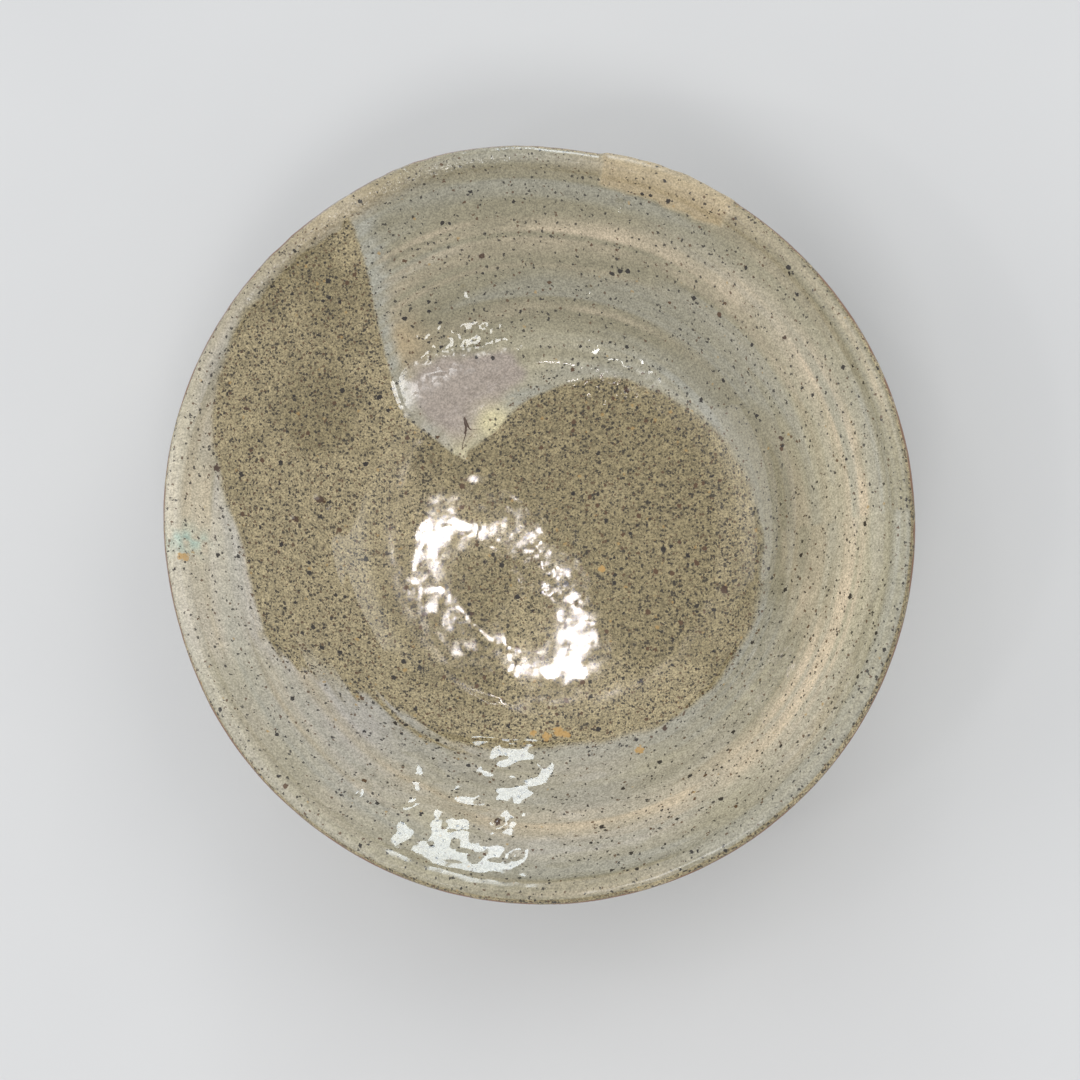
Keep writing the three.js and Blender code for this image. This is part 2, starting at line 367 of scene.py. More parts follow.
PEACH_RING = [(120, 57), (84, 58.2), (40, 60.3), (-2, 61.3), (-44, 59.8), (-87, 57.3), (-150, 58)]
PEACH_SHARE = [(150, 0.1), (120, 0.5), (90, 0.6), (42, 1.0), (0, 1.35), (-43, 1.0), (-90, 0.5), (-130, 0.15)]
PEACH_ARCS = [(58.2, 0.25), (53.2, 0.28), (45.6, 0.25)]        # radius, strength
COOL_SHARE = [(130, 0.3), (100, 1), (50, 1), (0, 0.5), (-60, 0.1), (-150, 0), (150, 0)]
WHITE_SHARE = [(150, 0.35), (180, 0.6), (-150, 0.6), (-120, 0.6), (-85, 0.6), (-50, 0.5), (-20, 0.25),
               (10, 0.1), (100, 0)]
WHITE_EDGE = [(140, 0.8), (180, 1), (-120, 0.6), (-90, 0.1), (100, 0.2)]
WHITE_SPOT = (-135.2, 53)
IRON_WIDTH = [(0, 1.5), (30, 1.7), (60, 1.4), (85, 1.4), (110, 2.0), (150, 2.2), (180, 2.1), (-140, 1.7),
              (-90, 1.1), (-40, 0.8), (-10, 1.2)]
GRAINS = [(171.2, 46.6, 0.85), (176.8, 50.3, 0.65), (61.8, 33.3, 0.6), (-17.6, 35.6, 0.75),
          (158, 61.5, 0.5), (-98.8, 57.5, 0.7), (170.2, 63.5, 0.7), (101, 55, 0.5), (35, 60, 0.5),
          (-137.6, 22, 0.5), (-150, 30, 0.6), (-60, 44, 0.6), (-43, 62, 0.5), (20, 50, 0.5)]
GOLD = [(-89, 38.3, 1.0), (-92.5, 39.3, 0.9), (-86.5, 39.0, 0.7), (-67.8, 45.7, 0.8), (-32.8, 11.6, 0.7),
        (-173.7, 68.3, 0.8), (-96.5, 38.8, 0.6)]
CRACK_CENTRE = (127.5, 26.9)
CRACK_ENDS = [(125.2, 29.8), (123, 25.9), (134.4, 25.3)]
CREAM_SPOTS = [(116, 25.8, 3.4, 1.3), (135, 24.5, 3.0, 0.7)]   # azimuth, radius, width, strength
TURQUOISE_SPOT = (-176.5, 67.0)
TAN_SPOT = (126.5, 48)


class Spread:
    """What the masks need to know about a grid of places on the bowl."""

    def __init__(self, s, azimuth):
        self.s, self.azimuth = s, azimuth
        self.points = plan_points(s, azimuth)
        self.radius = np.interp(s, S, CURVE[:, 0])
        self.solid = place(s, azimuth, SKIN)
        self.inside = s >= S_CREST
        self.covered, self.soft = coat_distance(s, azimuth)
        self.start_gap, _ = distance(self.points, START_LINE, closed=False)
        self.cloud = self.noise(14, 31)
        self.fine = self.streaks(1.1, 32)
        self.broad = self.streaks(3.6, 33)

    def noise(self, size, seed):
        return noise(self.solid, size, seed)

    def streaks(self, width, seed, reach=1.4):
        return streaks(self.s, self.azimuth, width, seed, reach)

    def near(self, middle, width):
        return near(self.azimuth, middle, width)

    def spot(self, azimuth, radius, width):
        """1 at a place, falling to 0 within about twice the width."""
        return hump(gap_to(self.points, azimuth, radius), 0, width)

    def beyond(self, low, high):
        return ramp(self.radius, low, high)


def grains(points, places):
    """1 at the middle of the nearest grain, falling to 0 at twice its radius."""
    nearest = np.zeros(points.shape[:-1])
    for turn, radius, size in places:
        nearest = np.maximum(nearest, 1 - gap_to(points, turn, radius) / (2 * size))
    return nearest


def cover(at):
    """The pale coat: brushed round the inside, a band outside, thin over the lip."""
    inner = ramp(at.covered, 0, at.soft)
    inner = inner * (0.86 + 0.14 * ramp(at.covered, at.soft, at.soft + 5))
    brushed = ramp(at.streaks(2.4, 44, 2.2) + 0.4 * at.streaks(1.0, 45, 4.0), -0.1, 0.8)
    brushed = brushed * at.near(-132, 22) * ramp(at.covered, -10, -1)
    inner = np.maximum(inner, 0.9 * brushed)
    low, high = (at_height(height) for height in BAND_HEIGHTS)
    edge = low + 2.2 * at.noise(16, 34) + 0.8 * at.streaks(2.0, 35)
    band = ramp(at.s, edge, edge + 2.5) * (1 - ramp(at.s, high - 1.5, high + 0.6))
    band = np.maximum(band * (0.75 + 0.25 * at.fine), 0)
    lip_fade = ramp(at.s, S_LIP + 0.5, S_CREST + 0.9)
    return np.where(at.inside, inner, band) * np.where(at.s > high + 1, lip_fade, 1)


def peach(at):
    """A ring of peach half way up the wall, fainter arcs at the back, and streaks."""
    back = at.near(88, 42)
    share = around(at.azimuth, PEACH_SHARE) * hump(at.radius, around(at.azimuth, PEACH_RING), 2.6)
    share = share + 0.36 * ramp(at.broad + 0.3 * at.cloud, 0.05, 0.8) * at.beyond(42, 50)
    for arc, strength in PEACH_ARCS:
        share = share + strength * back * hump(at.radius, arc + 0.8 * at.cloud, 1.3)
    share = share * (0.72 + 0.55 * at.fine) * ramp(at.start_gap + 0.8 * at.cloud, 1.5, 5.5)
    return share * (0.85 + 0.25 * at.noise(6, 42)) * (1 - 0.35 * back)


def cool(at):
    """Blue-grey along the coat's edges and in streaks."""
    share = hump(at.start_gap, 1.4, 2.6) * at.beyond(38, 46)
    share = share + 0.6 * hump(at.covered, 2.6, 2.6) * around(at.azimuth, COOL_SHARE)
    share = share + 0.55 * ramp(-at.broad, 0.0, 0.7)
    return share * (0.8 + 0.3 * at.streaks(0.8, 36))


def white(at):
    """Where the coat is thickest: the near left, and the edge of the left."""
    share = around(at.azimuth, WHITE_SHARE) * (0.7 + 0.3 * at.cloud + 0.25 * at.fine)
    share = share + 0.7 * at.spot(*WHITE_SPOT, 7)
    return share + 0.5 * hump(at.covered, 1.8, 1.3) * around(at.azimuth, WHITE_EDGE)


def dull(at):
    """Where the coat is thin: the back, two arcs and the lip on the right, and streaks."""
    share = 0.9 * at.near(85, 55) * at.beyond(38, 46)
    share = share + 0.5 * hump(at.radius, 42.5, 5) * at.near(10, 60)
    share = share + 0.6 * hump(at.radius, 45, 5) * at.near(5, 50)
    share = share + 0.6 * at.beyond(66, 69) * at.near(0, 55)
    share = share + 0.6 * at.beyond(62.5, 66) * at.near(-85, 38)
    share = share + 0.45 * ramp(at.broad + 0.5 * at.fine, 0.1, 0.9)
    share = share + 0.25 * ramp(at.fine, 0.1, 0.9)
    return share + 0.6 * hump(at.s, S_TOP, 2.5) * at.near(15, 40)


def lilac(at):
    """The thick pool at the start of the stroke."""
    gap, _ = distance(at.points, POOL_LINE)
    depth = np.where(is_inside(at.points, POOL_LINE), gap, -gap)
    return ramp(depth + 0.5 * at.noise(3, 37), 0.2, 3.2)


def cream(at):
    share = sum(strength * at.spot(*spot) for *spot, strength in CREAM_SPOTS)
    return share * ramp(at.covered, 0, 0.6)


def tan(at):
    """Two stretches of the lip, a warm patch beside the start, and the rim of the crack."""
    share = 0.75 * at.beyond(66, 69) * at.near(66, 15) * at.inside
    share = share + 0.6 * at.beyond(66.3, 68.5) * at.near(122, 16) * at.inside
    share = share + 0.85 * at.spot(*TAN_SPOT, 5.0) * ramp(at.start_gap, 1.5, 4)
    return share + 0.6 * at.spot(*CRACK_CENTRE, 1.8)


def tone(at):
    """How light the olive glaze is: a tone that differs at random, darker at the upper left and lighter at
    the left, with a painted shade that darkens the middle of the floor.
    """
    share = 0.5 + 0.5 * (0.45 * at.cloud + 0.35 * at.noise(5, 38) + 0.2 * at.noise(40, 39))
    share = share - 0.35 * at.near(148, 26) * at.beyond(40, 52)
    # painted shade: the olive is darker towards the middle of the floor, to offset the lamps' sheen there
    return share - 0.3 * (1 - at.beyond(30, 42)) + 0.5 * at.near(176, 24)


def light(at):
    """Where the coat is lightest: on the left, on the right, and along its start."""
    share = 0.9 * at.near(180, 24) + 0.4 * hump(at.start_gap, 1.4, 2.6) * at.beyond(38, 46)
    return share + 0.5 * at.near(0, 38) * at.beyond(50, 55)


def iron(at):
    """The brown line of the lip, of uneven width and broken by the patch."""
    width = around(at.azimuth, IRON_WIDTH)
    share = np.where(at.s < S_LIP, hump(at.s, S_LIP, 1.9), 1) * (0.8 + 0.35 * at.noise(3, 40))
    share = share * (1 - ramp(at.s, S_LIP + width - 0.3, S_LIP + width + 0.7))
    return share * (1 - 0.9 * at.near(65, 12))


def turquoise(at):
    return at.spot(*TURQUOISE_SPOT, 2.6) * (0.5 + 0.5 * at.noise(1.4, 41))


COLOUR_MASKS = [cover, peach, tan, cool, white, dull, lilac, cream, tone, light, iron, turquoise]


def masks(s, azimuth):
    """How much of each colour and finish shows at a place on the bowl."""
    at = Spread(s, azimuth)
    values = {mask.__name__: np.clip(mask(at), 0, 1) for mask in COLOUR_MASKS}
    glossy_lip = at.near(*GLOSSY_LIP)
    glints = np.maximum(at.near(85, 30), at.near(-112, 14))
    values["lip"] = hump(s, S_TOP, 3.0) * (1 - 0.9 * glossy_lip)
    values["bubbly"] = hump(s, S_TOP + 1.6, 2.6) * glossy_lip
    values["matt"] = hump(at.radius, WELL_REACH, 2.6) * at.inside * (1 - glints)
    values["grain"] = grains(at.points, GRAINS) * at.inside
    values["gold"] = grains(at.points, GOLD) * at.inside
    return values


# ---- meshes ----

def signed_volume(points, triangles):
    """Six times the volume, negative when the faces look inwards."""
    a, b, c = (points[triangles[:, corner]] for corner in range(3))
    return float(np.einsum("ij,ij->i", a, np.cross(b, c)).sum())


def halved(quads):
    return np.concatenate([quads[:, :3], quads[:, [0, 2, 3]]])


def make_piece(name, points, faces, values, material, node, creases_from=None):
    """A mesh object from points in millimetres, standing for a CAD node. Corners numbered from
    creases_from on are a feather edge, and the edges between them are sharp."""
    if signed_volume(points, halved(faces) if faces.shape[1] == 4 else faces) < 0:
        faces = faces[:, ::-1]
    mesh = bpy.data.meshes.new(name)
    mesh.from_pydata((points * MM).tolist(), [], faces.tolist())
    mesh.polygons.foreach_set("use_smooth", np.ones(len(faces), bool))
    for mask, value in values.items():
        attribute = mesh.attributes.new(mask, "FLOAT", "POINT")
        attribute.data.foreach_set("value", value.astype(np.float32))
    if creases_from is not None:
        ends = np.empty(len(mesh.edges) * 2, np.int32)
        mesh.edges.foreach_get("vertices", ends)
        sharp = mesh.attributes.new("sharp_edge", "BOOLEAN", "EDGE")
        sharp.data.foreach_set("value", (ends.reshape(-1, 2) >= creases_from).all(axis=1))
    mesh.validate()
    mesh.materials.append(material)
    piece = bpy.data.objects.new(name, mesh)
    bpy.context.scene.collection.objects.link(piece)
    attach(piece, "root")
    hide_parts(node)


def grid_faces(rows, columns, closed_rows, closed_columns=True):
    """Quads between neighbouring points of a grid, numbered row by row."""
    row = np.arange(rows if closed_rows else rows - 1)[:, None]
    column = np.arange(columns if closed_columns else columns - 1)[None, :]
    below = row * columns
    above = (row + 1) % rows * columns
    right = (column + 1) % columns
    quad = np.stack([below + column, below + right, above + right, above + column], -1)
    return quad.reshape(-1, 4)


def columns_of(count):
    return np.arange(count) * 360 / count


def closed_loop(rows):
    """A ring-shaped body from a stack of rings of points: rows is (rows, columns, 3)."""
    count, columns = rows.shape[:2]
    return rows.reshape(-1, 3), grid_faces(count, columns, closed_rows=True)


def between_poles(rows):
    """A body from a stack of rings whose first and last rings have shrunk to a point."""
    count, columns = rows.shape[:2]
    triangles = halved(grid_faces(count, columns, closed_rows=False))
    last = (count - 1) * columns
    triangles = np.where(triangles < columns, 0, triangles)
    triangles = np.where(triangles >= last, last, triangles)
    real = (triangles != np.roll(triangles, 1, axis=1)).all(axis=1)
    return rows.reshape(-1, 3), triangles[real]


def drop_unused(points, faces, values):
    used = np.unique(faces)
    renumber = np.zeros(len(points), int)
    renumber[used] = np.arange(len(used))
    return points[used], renumber[faces], {name: value[used] for name, value in values.items()}


def cut(triangles, value):
    """The part of a triangle mesh where value is positive. New corners on the line are numbered
    after the old ones; they are returned as pairs of old corners and the share between them."""
    count = len(value)
    positive = value > 0
    inside = positive[triangles]
    total = inside.sum(axis=1)

    def odd_first(group, odd):
        """The triangles' corners, turned so that the odd one out comes first."""
        first = np.argmax(odd, axis=1)
        return np.stack([group[np.arange(len(group)), (first + k) % 3] for k in range(3)], 1)

    one = odd_first(triangles[total == 1], inside[total == 1])
    two = odd_first(triangles[total == 2], ~inside[total == 2])
    pairs = np.concatenate([one[:, [0, 1]], one[:, [0, 2]], two[:, [0, 1]], two[:, [0, 2]]])
    unique, index = np.unique(np.sort(pairs, axis=1), axis=0, return_inverse=True)
    index = index.ravel() + count
    n1, n2 = len(one), len(two)
    one_a, one_b = index[:n1], index[n1:2 * n1]
    two_a, two_b = index[2 * n1:2 * n1 + n2], index[2 * n1 + n2:]
    pieces = [triangles[total == 3], np.stack([one[:, 0], one_a, one_b], 1),
              np.stack([two_a, two[:, 1], two[:, 2]], 1), np.stack([two_a, two[:, 2], two_b], 1)]
    share = value[unique[:, 0]] / (value[unique[:, 0]] - value[unique[:, 1]])
    return np.concatenate(pieces), unique, share


def feathered(s, azimuth, depth, top, bottom, values, closed_columns=True):
    """A sheet over a grid of places, kept where depth is positive. Its two faces run together
    at its edge. All arrays are (rows, columns)."""
    rows, columns = s.shape
    quads = grid_faces(rows, columns, closed_rows=False, closed_columns=closed_columns)
    triangles, pairs, share = cut(halved(quads), depth.ravel())
    count = rows * columns

    def with_edge(array):
        array = array.reshape(count, -1)
        between = array[pairs[:, 0]] * (1 - share[:, None]) + array[pairs[:, 1]] * share[:, None]
        return np.concatenate([array, between])

    upper = with_edge(place(s, azimuth, top))
    lower = with_edge(place(s, azimuth, bottom))
    edge = upper[count:]
    points = np.concatenate([upper[:count], lower[:count], edge])
    over = np.where(triangles < count, triangles, triangles + count)
    under = triangles + count
    faces = np.concatenate([over, under[:, ::-1]])
    all_values = {}
    for name, value in values.items():
        full = with_edge(value)[:, 0]
        all_values[name] = np.concatenate([full[:count], full[:count], full[count:]])
    used = np.unique(faces)
    first_edge = int(np.searchsorted(used, 2 * count))
    points, faces, all_values = drop_unused(points, faces, all_values)
    return points, faces, all_values, first_edge


# ---- materials ----

SHAKE_SIZE, SHAKE_REACH = 0.45, 0.75    # how the specks' outlines are made ragged


class Shader:
    """A material's node tree, with short calls for the few kinds of node used here."""

    def __init__(self, name):
        self.material = bpy.data.materials.new(name)
        self.material.use_nodes = True
        self.tree = self.material.node_tree
        self.body = self.tree.nodes["Principled BSDF"]
        self.where = self.add("ShaderNodeTexCoord", {}).outputs["Object"]
        self.ragged = self.shaken(SHAKE_SIZE, SHAKE_REACH)

    def add(self, kind, inputs, **settings):
        node = self.tree.nodes.new(kind)
        for key, value in settings.items():
            setattr(node, key, value)
        for key, value in inputs.items():
            self.put(node.inputs[key], value)
        return node

    def put(self, socket, value):
        if isinstance(value, bpy.types.NodeSocket):
            self.tree.links.new(value, socket)
        else:
            socket.default_value = value

    def set(self, name, value):
        self.put(self.body.inputs[name], value)

    def mask(self, name):
        return self.add("ShaderNodeAttribute", {}, attribute_name=name).outputs["Fac"]

    def math(self, operation, a, b):
        return self.add("ShaderNodeMath", {0: a, 1: b}, operation=operation).outputs[0]

    def times(self, a, b):
        return self.math("MULTIPLY", a, b)

    def plus(self, a, b):
        return self.math("ADD", a, b)

    def centred(self, value, reach):
        """A value from 0 to 1 as a shift of up to half of reach either way."""
        return self.times(self.math("SUBTRACT", value, 0.5), reach)

    def ramp(self, value, low, high, start=0.0, end=1.0):
        inputs = {"Value": value, "From Min": low, "From Max": high, "To Min": start, "To Max": end}
        return self.add("ShaderNodeMapRange", inputs, interpolation_type="SMOOTHSTEP").outputs["Result"]

    def mix(self, share, a, b):
        a, b = (colour if isinstance(colour, bpy.types.NodeSocket) else (*colour, 1) for colour in (a, b))
        return self.add("ShaderNodeMix", {0: share, 6: a, 7: b}, data_type="RGBA").outputs[2]

    def scaled(self, colour, amount):
        return self.add("ShaderNodeVectorMath", {0: colour, "Scale": amount}, operation="SCALE").outputs[0]

    def noise(self, size, detail=2.0, roughness=0.5, output="Fac"):
        """Noise whose lumps are about size millimetres across."""
        inputs = {"Vector": self.where, "Scale": 1 / (size * MM), "Detail": detail, "Roughness": roughness}
        return self.add("ShaderNodeTexNoise", inputs).outputs[output]

    def shaken(self, size, reach):
        """The place moved about by noise of that size, by up to half of reach millimetres."""
        inputs = {0: self.noise(size, output="Color"), 1: (reach * MM,) * 3, 2: self.where}
        return self.add("ShaderNodeVectorMath", inputs, operation="MULTIPLY_ADD").outputs[0]

    def specks(self, spacing, radius, share, soft=0.06, rarity=2.0):
        """Ragged specks of up to the given radius, spacing millimetres apart, in a share of the
        places. A higher rarity makes the big ones fewer, and soft is the share of the radius
        that fades. Returns the mask, and a number that differs from speck to speck."""
        node = self.add("ShaderNodeTexVoronoi", {"Vector": self.ragged, "Scale": 1 / (spacing * MM)})
        parts = self.add("ShaderNodeSeparateColor", {0: node.outputs["Color"]})
        size = self.times(self.math("POWER", parts.outputs[0], rarity), radius / spacing)
        size = self.times(size, self.math("LESS_THAN", parts.outputs[1], share))
        depth = self.math("SUBTRACT", size, node.outputs["Distance"])
        return self.ramp(depth, 0.0, soft * radius / spacing), parts.outputs[2]

    def thinned(self, cover, bare, covered):
        """A share that goes from bare, on bare glaze, to covered, under a full coat."""
        return self.math("SUBTRACT", bare, self.times(cover, bare - covered))

    def bump(self, height, distance, below=None):
        """Height as a socket from 0 to 1, distance in millimetres."""
        node = self.add("ShaderNodeBump", {"Height": height, "Distance": distance * MM})
        if below is not None:
            self.put(node.inputs["Normal"], below)
        return node.outputs["Normal"]


OLIVE = (0.252, 0.206, 0.112)
OLIVE_LIGHT = (0.352, 0.29, 0.169)
PALE = (0.41, 0.372, 0.262)
IRON = (0.20, 0.095, 0.045)
SPECK_BLACK = (0.022, 0.018, 0.016)
SPECK_BROWN = (0.10, 0.055, 0.028)
SPECK_OCHRE = (0.42, 0.27, 0.10)
GRAIN_BROWN = (0.06, 0.028, 0.016)
GOLD_BROWN = (0.52, 0.31, 0.10)
CLAY = (0.24, 0.155, 0.092)
CLAY_DARK = (0.13, 0.075, 0.042)
SAND = (0.45, 0.36, 0.24)

# the coat's tints, each laid over the one before
TINTS = dict(white=(0.44, 0.407, 0.358), dull=(0.268, 0.242, 0.162), cool=(0.345, 0.335, 0.278),
             peach=(0.575, 0.478, 0.342), tan=(0.43, 0.335, 0.20), lilac=(0.36, 0.305, 0.258),
             cream=(0.62, 0.555, 0.345), turquoise=(0.30, 0.42, 0.36))

# specks: spacing and greatest radius in millimetres
FRECKLES = (0.52, 0.36)
OCHRES = (1.5, 0.5)
DOTS = (1.6, 0.58)
PITS = (3.2, 0.35)
CLAY_DOTS = (1.3, 0.34)
CLAY_SAND = (1.6, 0.36)

GLAZE_IOR = 1.52


def olive_colour(shader, mottle, grain):
    """The glaze itself, over mottled and grainy clay."""
    # this mask also carries the painted shade over the middle of the floor
    olive = shader.mix(shader.ramp(shader.mask("tone"), 0.2, 0.8), OLIVE, OLIVE_LIGHT)
    dark, light = shader.scaled(olive, 0.84), shader.scaled(olive, 1.14)
    colour = shader.mix(shader.ramp(mottle, 0.35, 0.68), dark, light)
    return shader.scaled(colour, shader.ramp(grain, 0.3, 0.7, 0.5, 1.55))


def coat_colour(shader, mottle, grain):
    """The pale coat with its tints."""
    pale = PALE
    for name, tint in TINTS.items():
        pale = shader.mix(shader.mask(name), pale, tint)
    pale = shader.scaled(pale, shader.plus(1.0, shader.times(shader.mask("light"), 0.3)))
    pale = shader.scaled(pale, shader.ramp(grain, 0.3, 0.7, 0.72, 1.26))
    return shader.scaled(pale, shader.ramp(mottle, 0.3, 0.7, 0.9, 1.09))


def with_specks(shader, colour, cover):
    """Iron that melted through: fine freckles, soft ochre specks and larger dots, fewer where the
    coat is thick. Returns the colour and the dots' mask."""
    thick = shader.plus(cover, shader.times(shader.mask("lilac"), 0.5))
    freckle, which = shader.specks(*FRECKLES, shader.thinned(thick, 0.95, 0.2), rarity=1.4)
    tint = shader.mix(shader.math("GREATER_THAN", which, 0.7), SPECK_BLACK, SPECK_BROWN)
    colour = shader.mix(shader.times(freckle, 0.85), colour, tint)
    ochre, _ = shader.specks(*OCHRES, shader.thinned(thick, 0.5, 0.15), soft=0.5)
    colour = shader.mix(shader.times(ochre, 0.75), colour, SPECK_OCHRE)
    dot, which = shader.specks(*DOTS, shader.thinned(thick, 0.75, 0.32), rarity=2.8)
    tint = shader.mix(shader.math("GREATER_THAN", which, 0.75), SPECK_BLACK, SPECK_BROWN)
    return shader.mix(shader.times(dot, 0.95), colour, tint), dot


def with_marks(shader, colour, mottle):
    """The brown of the lip, and the ochre and dark grains."""
    iron = shader.plus(shader.mask("iron"), shader.centred(mottle, 0.5))
    colour = shader.mix(shader.ramp(iron, 0.25, 0.8), colour, IRON)
    rough_edge = shader.centred(shader.noise(0.7), 0.9)
    gold = shader.ramp(shader.plus(shader.mask("gold"), rough_edge), 0.42, 0.6)
    colour = shader.mix(shader.times(gold, 0.8), colour, GOLD_BROWN)
    lump = shader.ramp(shader.plus(shader.mask("grain"), rough_edge), 0.45, 0.6)
    return shader.mix(shader.times(lump, 0.92), colour, GRAIN_BROWN)


def glaze_finish(shader, dot, roughness):
    """Gloss, rougher on the lip and round the floor, with waves, pits, bubbles and raised dots."""
    smooth = shader.ramp(shader.noise(2.5), 0.3, 0.75, roughness * 0.8, roughness * 1.3)
    rougher = shader.plus(shader.times(shader.mask("lip"), 0.22), shader.times(shader.mask("matt"), 0.4))
    shader.set("Roughness", shader.plus(smooth, rougher))
    pits, _ = shader.specks(*PITS, 0.5, soft=0.9)
    bubbles = shader.times(shader.noise(1.3, 2.0, 0.6), shader.mask("bubbly"))
    normal = None
    for height, size in ((shader.noise(0.9), 0.0012), (pits, -0.05), (bubbles, 0.7), (dot, 0.012)):
        normal = shader.bump(height, size, normal)
    shader.set("Normal", normal)
    shader.set("IOR", GLAZE_IOR)


def glaze_material(name, roughness=0.04):
    """Glossy wood-ash glaze over speckled clay, with the pale coat and its tints on top."""
    shader = Shader(name)
    cover = shader.mask("cover")
    mottle = shader.noise(1.3, 3.0, 0.6)
    grain = shader.noise(0.38, 2.0, 0.7)
    worn = shader.ramp(shader.plus(cover, shader.centred(mottle, 0.35)), 0.02, 0.95)
    worn = shader.times(worn, shader.math("GREATER_THAN", cover, 0.001))
    colour = shader.mix(worn, olive_colour(shader, mottle, grain), coat_colour(shader, mottle, grain))
    colour, dot = with_specks(shader, colour, cover)
    shader.set("Base Color", with_marks(shader, colour, mottle))
    glaze_finish(shader, dot, roughness)
    return shader.material


def clay_material(name):
    """Bare gritty stoneware, browner and darker where it was wiped."""
    shader = Shader(name)
    patch = shader.noise(14, 4.0, 0.6)
    grain = shader.noise(0.35, 3.0, 0.65)
    colour = shader.mix(shader.ramp(patch, 0.38, 0.66), CLAY, CLAY_DARK)
    colour = shader.scaled(colour, shader.ramp(grain, 0.25, 0.75, 0.72, 1.25))
    dot, _ = shader.specks(*CLAY_DOTS, 0.6)
    colour = shader.mix(shader.times(dot, 0.85), colour, SPECK_BLACK)
    sand, _ = shader.specks(*CLAY_SAND, 0.45)
    colour = shader.mix(shader.times(sand, 0.7), colour, SAND)
    shader.set("Base Color", colour)
    shader.set("Roughness", shader.ramp(grain, 0.2, 0.8, 0.72, 0.92))
    shader.set("Normal", shader.bump(sand, 0.12, shader.bump(grain, 0.09)))
    return shader.material


# ---- pieces ----

BODY_COLUMNS = 384       # points round the clay
SKIN_COLUMNS = 512       # round the glaze
SWIRL_COLUMNS = 480
BAND_COLUMNS = 400
POOL_AZIMUTHS = (89, 145)
POOL_RADII = (47, 20.6)
SWIRL_END = 20.8         # the swirl's innermost radius
PATCH_MIDDLE, PATCH_HALF = 65.5, 11.5   # the rim patch's azimuth and half its width
PATCH_REACH = 65.2       # how far in it comes
FOOT_MIDDLE = 24.0
CRACK_DEPTH = 0.55
ABOVE = 0.01             # keeps one layer clear of the next where they would coincide


def grid(start, end, count, azimuth):
    """Places in rows from s = start to s = end, which may differ from azimuth to azimuth."""
    share = np.linspace(0, 1, count)[:, None]
    s = np.broadcast_to(start, azimuth.shape) * (1 - share) + np.broadcast_to(end, azimuth.shape) * share
    return s, np.broadcast_to(azimuth, s.shape)


def recess_rows(azimuth):
    """The underside inside the foot ring: turned grooves and a low peak in the middle."""
    radius = np.linspace(0, FOOT_INSIDE + 0.4, 46)[:, None] + 0 * azimuth
    plan = flat(azimuth, radius)
    spiral = np.sin(2 * math.pi * (radius / 2.6 - azimuth / 360))
    depth = 0.13 * spiral * ramp(radius, 0.5, 4)
    depth = depth + 0.9 * hump(radius, 0, 3.2) - 0.5 * hump(radius, 12, 8)
    height = FOOT_HEIGHT - depth * (1 - ramp(radius, 18, 20)) + 0.05 * noise(upright(plan), 1.6, 51)
    return raised(plan, height)


def clay_body(material):
    """The thrown wall and floor; what shows of it below the glaze line is gritty and turned."""
    azimuth = columns_of(BODY_COLUMNS)
    glaze_line = at_height(GLAZE_LINE)
    bare = grid(0.0, glaze_line + 4, 70, azimuth)
    hidden = grid(glaze_line + 4.5, S_CENTRE, 60, azimuth)
    s, turns = np.concatenate([bare, hidden], axis=1)
    solid = place(s, turns, 0)
    marks = 0.07 * np.sin(2 * math.pi * (s / 1.9 + turns / 360)) * (0.5 + 0.5 * noise(solid, 9, 52))
    marks = marks + 0.1 * noise(solid, 2.1, 53) + 0.18 * noise(solid, 9, 54)
    lift = marks * (1 - ramp(s, glaze_line, glaze_line + 3))
    points, faces = between_poles(np.concatenate([recess_rows(azimuth), place(s, turns, lift)]))
    points, faces, _ = drop_unused(points, faces, {})
    make_piece("bowl_clay", points, faces, {}, material, "clay_body")


def foot_profile():
    """The foot ring's section, from its inner top round the resting face to its outer top."""
    inner, outer = FOOT_INSIDE + FOOT_TAPER, FOOT_OUTSIDE - FOOT_TAPER
    corner = FOOT_CHAMFER + 0.2
    line = spline([(FOOT_INSIDE - 0.1, FOOT_HEIGHT + 0.3), (FOOT_INSIDE + 0.1, 7.6), (inner - 0.15, 2.2),
                   (inner, corner), (inner + 0.25, 0.3), (inner + FOOT_CHAMFER, 0), (FOOT_MIDDLE, 0),
                   (outer - FOOT_CHAMFER, 0), (outer - 0.25, 0.3), (outer, corner), (outer + 0.15, 2.2),
                   (FOOT_OUTSIDE - 0.1, 7.6), (FOOT_OUTSIDE + 0.1, FOOT_HEIGHT + 0.3)], 6)
    return np.concatenate([line, np.linspace(line[-1], line[0], 6)[1:-1]])


def foot_ring(material):
    """The ring, turned after throwing, with softened edges and small dents."""
    azimuth = columns_of(BODY_COLUMNS)
    line = foot_profile()
    radius, height = (line[:, i, None] + 0 * azimuth for i in (0, 1))
    solid = np.concatenate([flat(azimuth, radius), height[..., None]], -1)
    free = ramp(height, 0.2, 1.2) * (1 - ramp(height, FOOT_HEIGHT - 0.6, FOOT_HEIGHT - 0.1))
    wear = 0.16 * noise(solid, 6, 55) + 0.07 * noise(solid, 1.7, 56)
    wear = wear + 0.05 * np.sin(2 * math.pi * height / 1.5)
    radius = radius + np.sign(radius - FOOT_MIDDLE) * wear * free
    dents = 0.12 * np.clip(noise(solid, 3.2, 57) - 0.2, 0, 1) * (height < 1)
    height = np.where(line[:, 1, None] == 0, 0, np.maximum(height + dents, 0))
    points, faces = closed_loop(raised(flat(azimuth, radius), height))
    make_piece("bowl_foot", points, faces, {}, material, "foot_ring")


def skin_piece(name, s, turns, lift, under, lift_under, material, node, to_centre=False):
    """A layer with a fine upper face and a plainer lower one."""
    values = {key: np.concatenate([value.ravel(), np.zeros(under[0].size)])
              for key, value in masks(s, turns).items()}
    rows = np.concatenate([place(s, turns, lift), place(*under, lift_under)])
    points, faces = between_poles(rows) if to_centre else closed_loop(rows)
    if to_centre:
        points, faces, values = drop_unused(points, faces, values)
    make_piece(name, points, faces, values, material, node)


